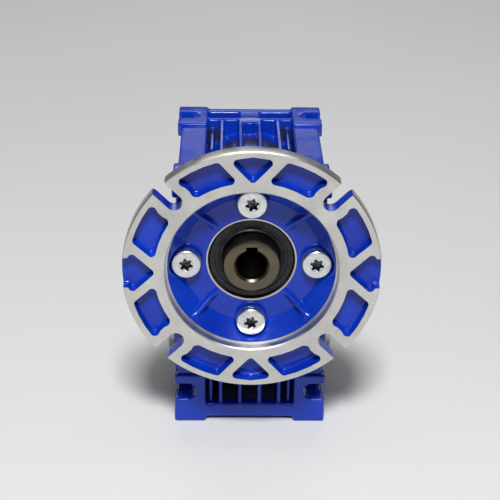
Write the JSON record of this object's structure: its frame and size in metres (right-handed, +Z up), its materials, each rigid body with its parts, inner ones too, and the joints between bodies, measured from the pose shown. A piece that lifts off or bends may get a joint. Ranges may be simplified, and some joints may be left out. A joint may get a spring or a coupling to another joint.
{
  "type": "worm gearbox",
  "caption": "Right-angle worm gearbox with a dished round motor flange, a keyed input bore and a keyed hollow output shaft, on open-slotted feet.",
  "frame": {"origin": "under the middle of the gearbox, in the plane of its feet", "axes": "+X along the hollow output shaft, +Y along the worm away from the motor, +Z up"},
  "size_m": [0.09, 0.095, 0.115],
  "materials": {
    "blue_paint": "gloss blue paint on die-cast aluminium, bare where it is machined",
    "shaft_steel": "ground",
    "bearing_steel": "polished",
    "spring_steel": "blackened",
    "bronze": "machined",
    "zinc_plate": "zinc plated",
    "seal_rubber": "matte"
  },
  "bodies": {
    "root": {"housing": "blue_paint", "side_cover": "blue_paint", "cover_o_ring": "seal_rubber", "cover_screw_1": "zinc_plate", "cover_screw_2": "zinc_plate", "cover_screw_3": "zinc_plate", "cover_screw_4": "zinc_plate", "motor_flange": "blue_paint", "flange_o_ring": "seal_rubber", "flange_screw_1": "zinc_plate", "flange_screw_2": "zinc_plate", "flange_screw_3": "zinc_plate", "flange_screw_4": "zinc_plate", "input_seal": "seal_rubber", "right_seal": "seal_rubber", "left_seal": "seal_rubber", "front_circlip": "spring_steel", "rear_circlip": "spring_steel", "rear_cap": "seal_rubber", "right_bearing_outer_ring": "bearing_steel", "left_bearing_outer_ring": "bearing_steel", "front_bearing_outer_ring": "bearing_steel", "rear_bearing_outer_ring": "bearing_steel"},
    "wheel": {"output_hub": "shaft_steel", "bronze_wheel": "bronze", "right_bearing_inner_ring": "bearing_steel", "left_bearing_inner_ring": "bearing_steel"},
    "worm": {"worm_shaft": "shaft_steel", "front_bearing_inner_ring": "bearing_steel", "rear_bearing_inner_ring": "bearing_steel"},
    "right_cage": {"right_bearing_cage": "bearing_steel"},
    "left_cage": {"left_bearing_cage": "bearing_steel"},
    "front_cage": {"front_bearing_cage": "bearing_steel"},
    "rear_cage": {"rear_bearing_cage": "bearing_steel"}
  },
  "joints": [
    {"name": "wheel_spin", "type": "hinge", "parent": "root", "child": "wheel", "pos_m": [0, 0.0075, 0.04], "axis": [1, 0, 0], "continuous": true},
    {"name": "worm_spin", "type": "hinge", "parent": "root", "child": "worm", "pos_m": [0, 0.0075, 0.07], "axis": [0, 1, 0], "continuous": true},
    {"name": "right_cage_spin", "type": "hinge", "parent": "root", "child": "right_cage", "pos_m": [0, 0.0075, 0.04], "axis": [1, 0, 0], "continuous": true},
    {"name": "left_cage_spin", "type": "hinge", "parent": "root", "child": "left_cage", "pos_m": [0, 0.0075, 0.04], "axis": [1, 0, 0], "continuous": true},
    {"name": "front_cage_spin", "type": "hinge", "parent": "root", "child": "front_cage", "pos_m": [0, 0.0075, 0.07], "axis": [0, 1, 0], "continuous": true},
    {"name": "rear_cage_spin", "type": "hinge", "parent": "root", "child": "rear_cage", "pos_m": [0, 0.0075, 0.07], "axis": [0, 1, 0], "continuous": true}
  ],
  "couplings": [
    {"joint": "worm_spin", "follows": "wheel_spin", "ratio": -30},
    {"joint": "right_cage_spin", "follows": "wheel_spin", "ratio": 0.4199},
    {"joint": "left_cage_spin", "follows": "wheel_spin", "ratio": 0.4199},
    {"joint": "front_cage_spin", "follows": "wheel_spin", "ratio": -13.053},
    {"joint": "rear_cage_spin", "follows": "wheel_spin", "ratio": -11.946}
  ]
}
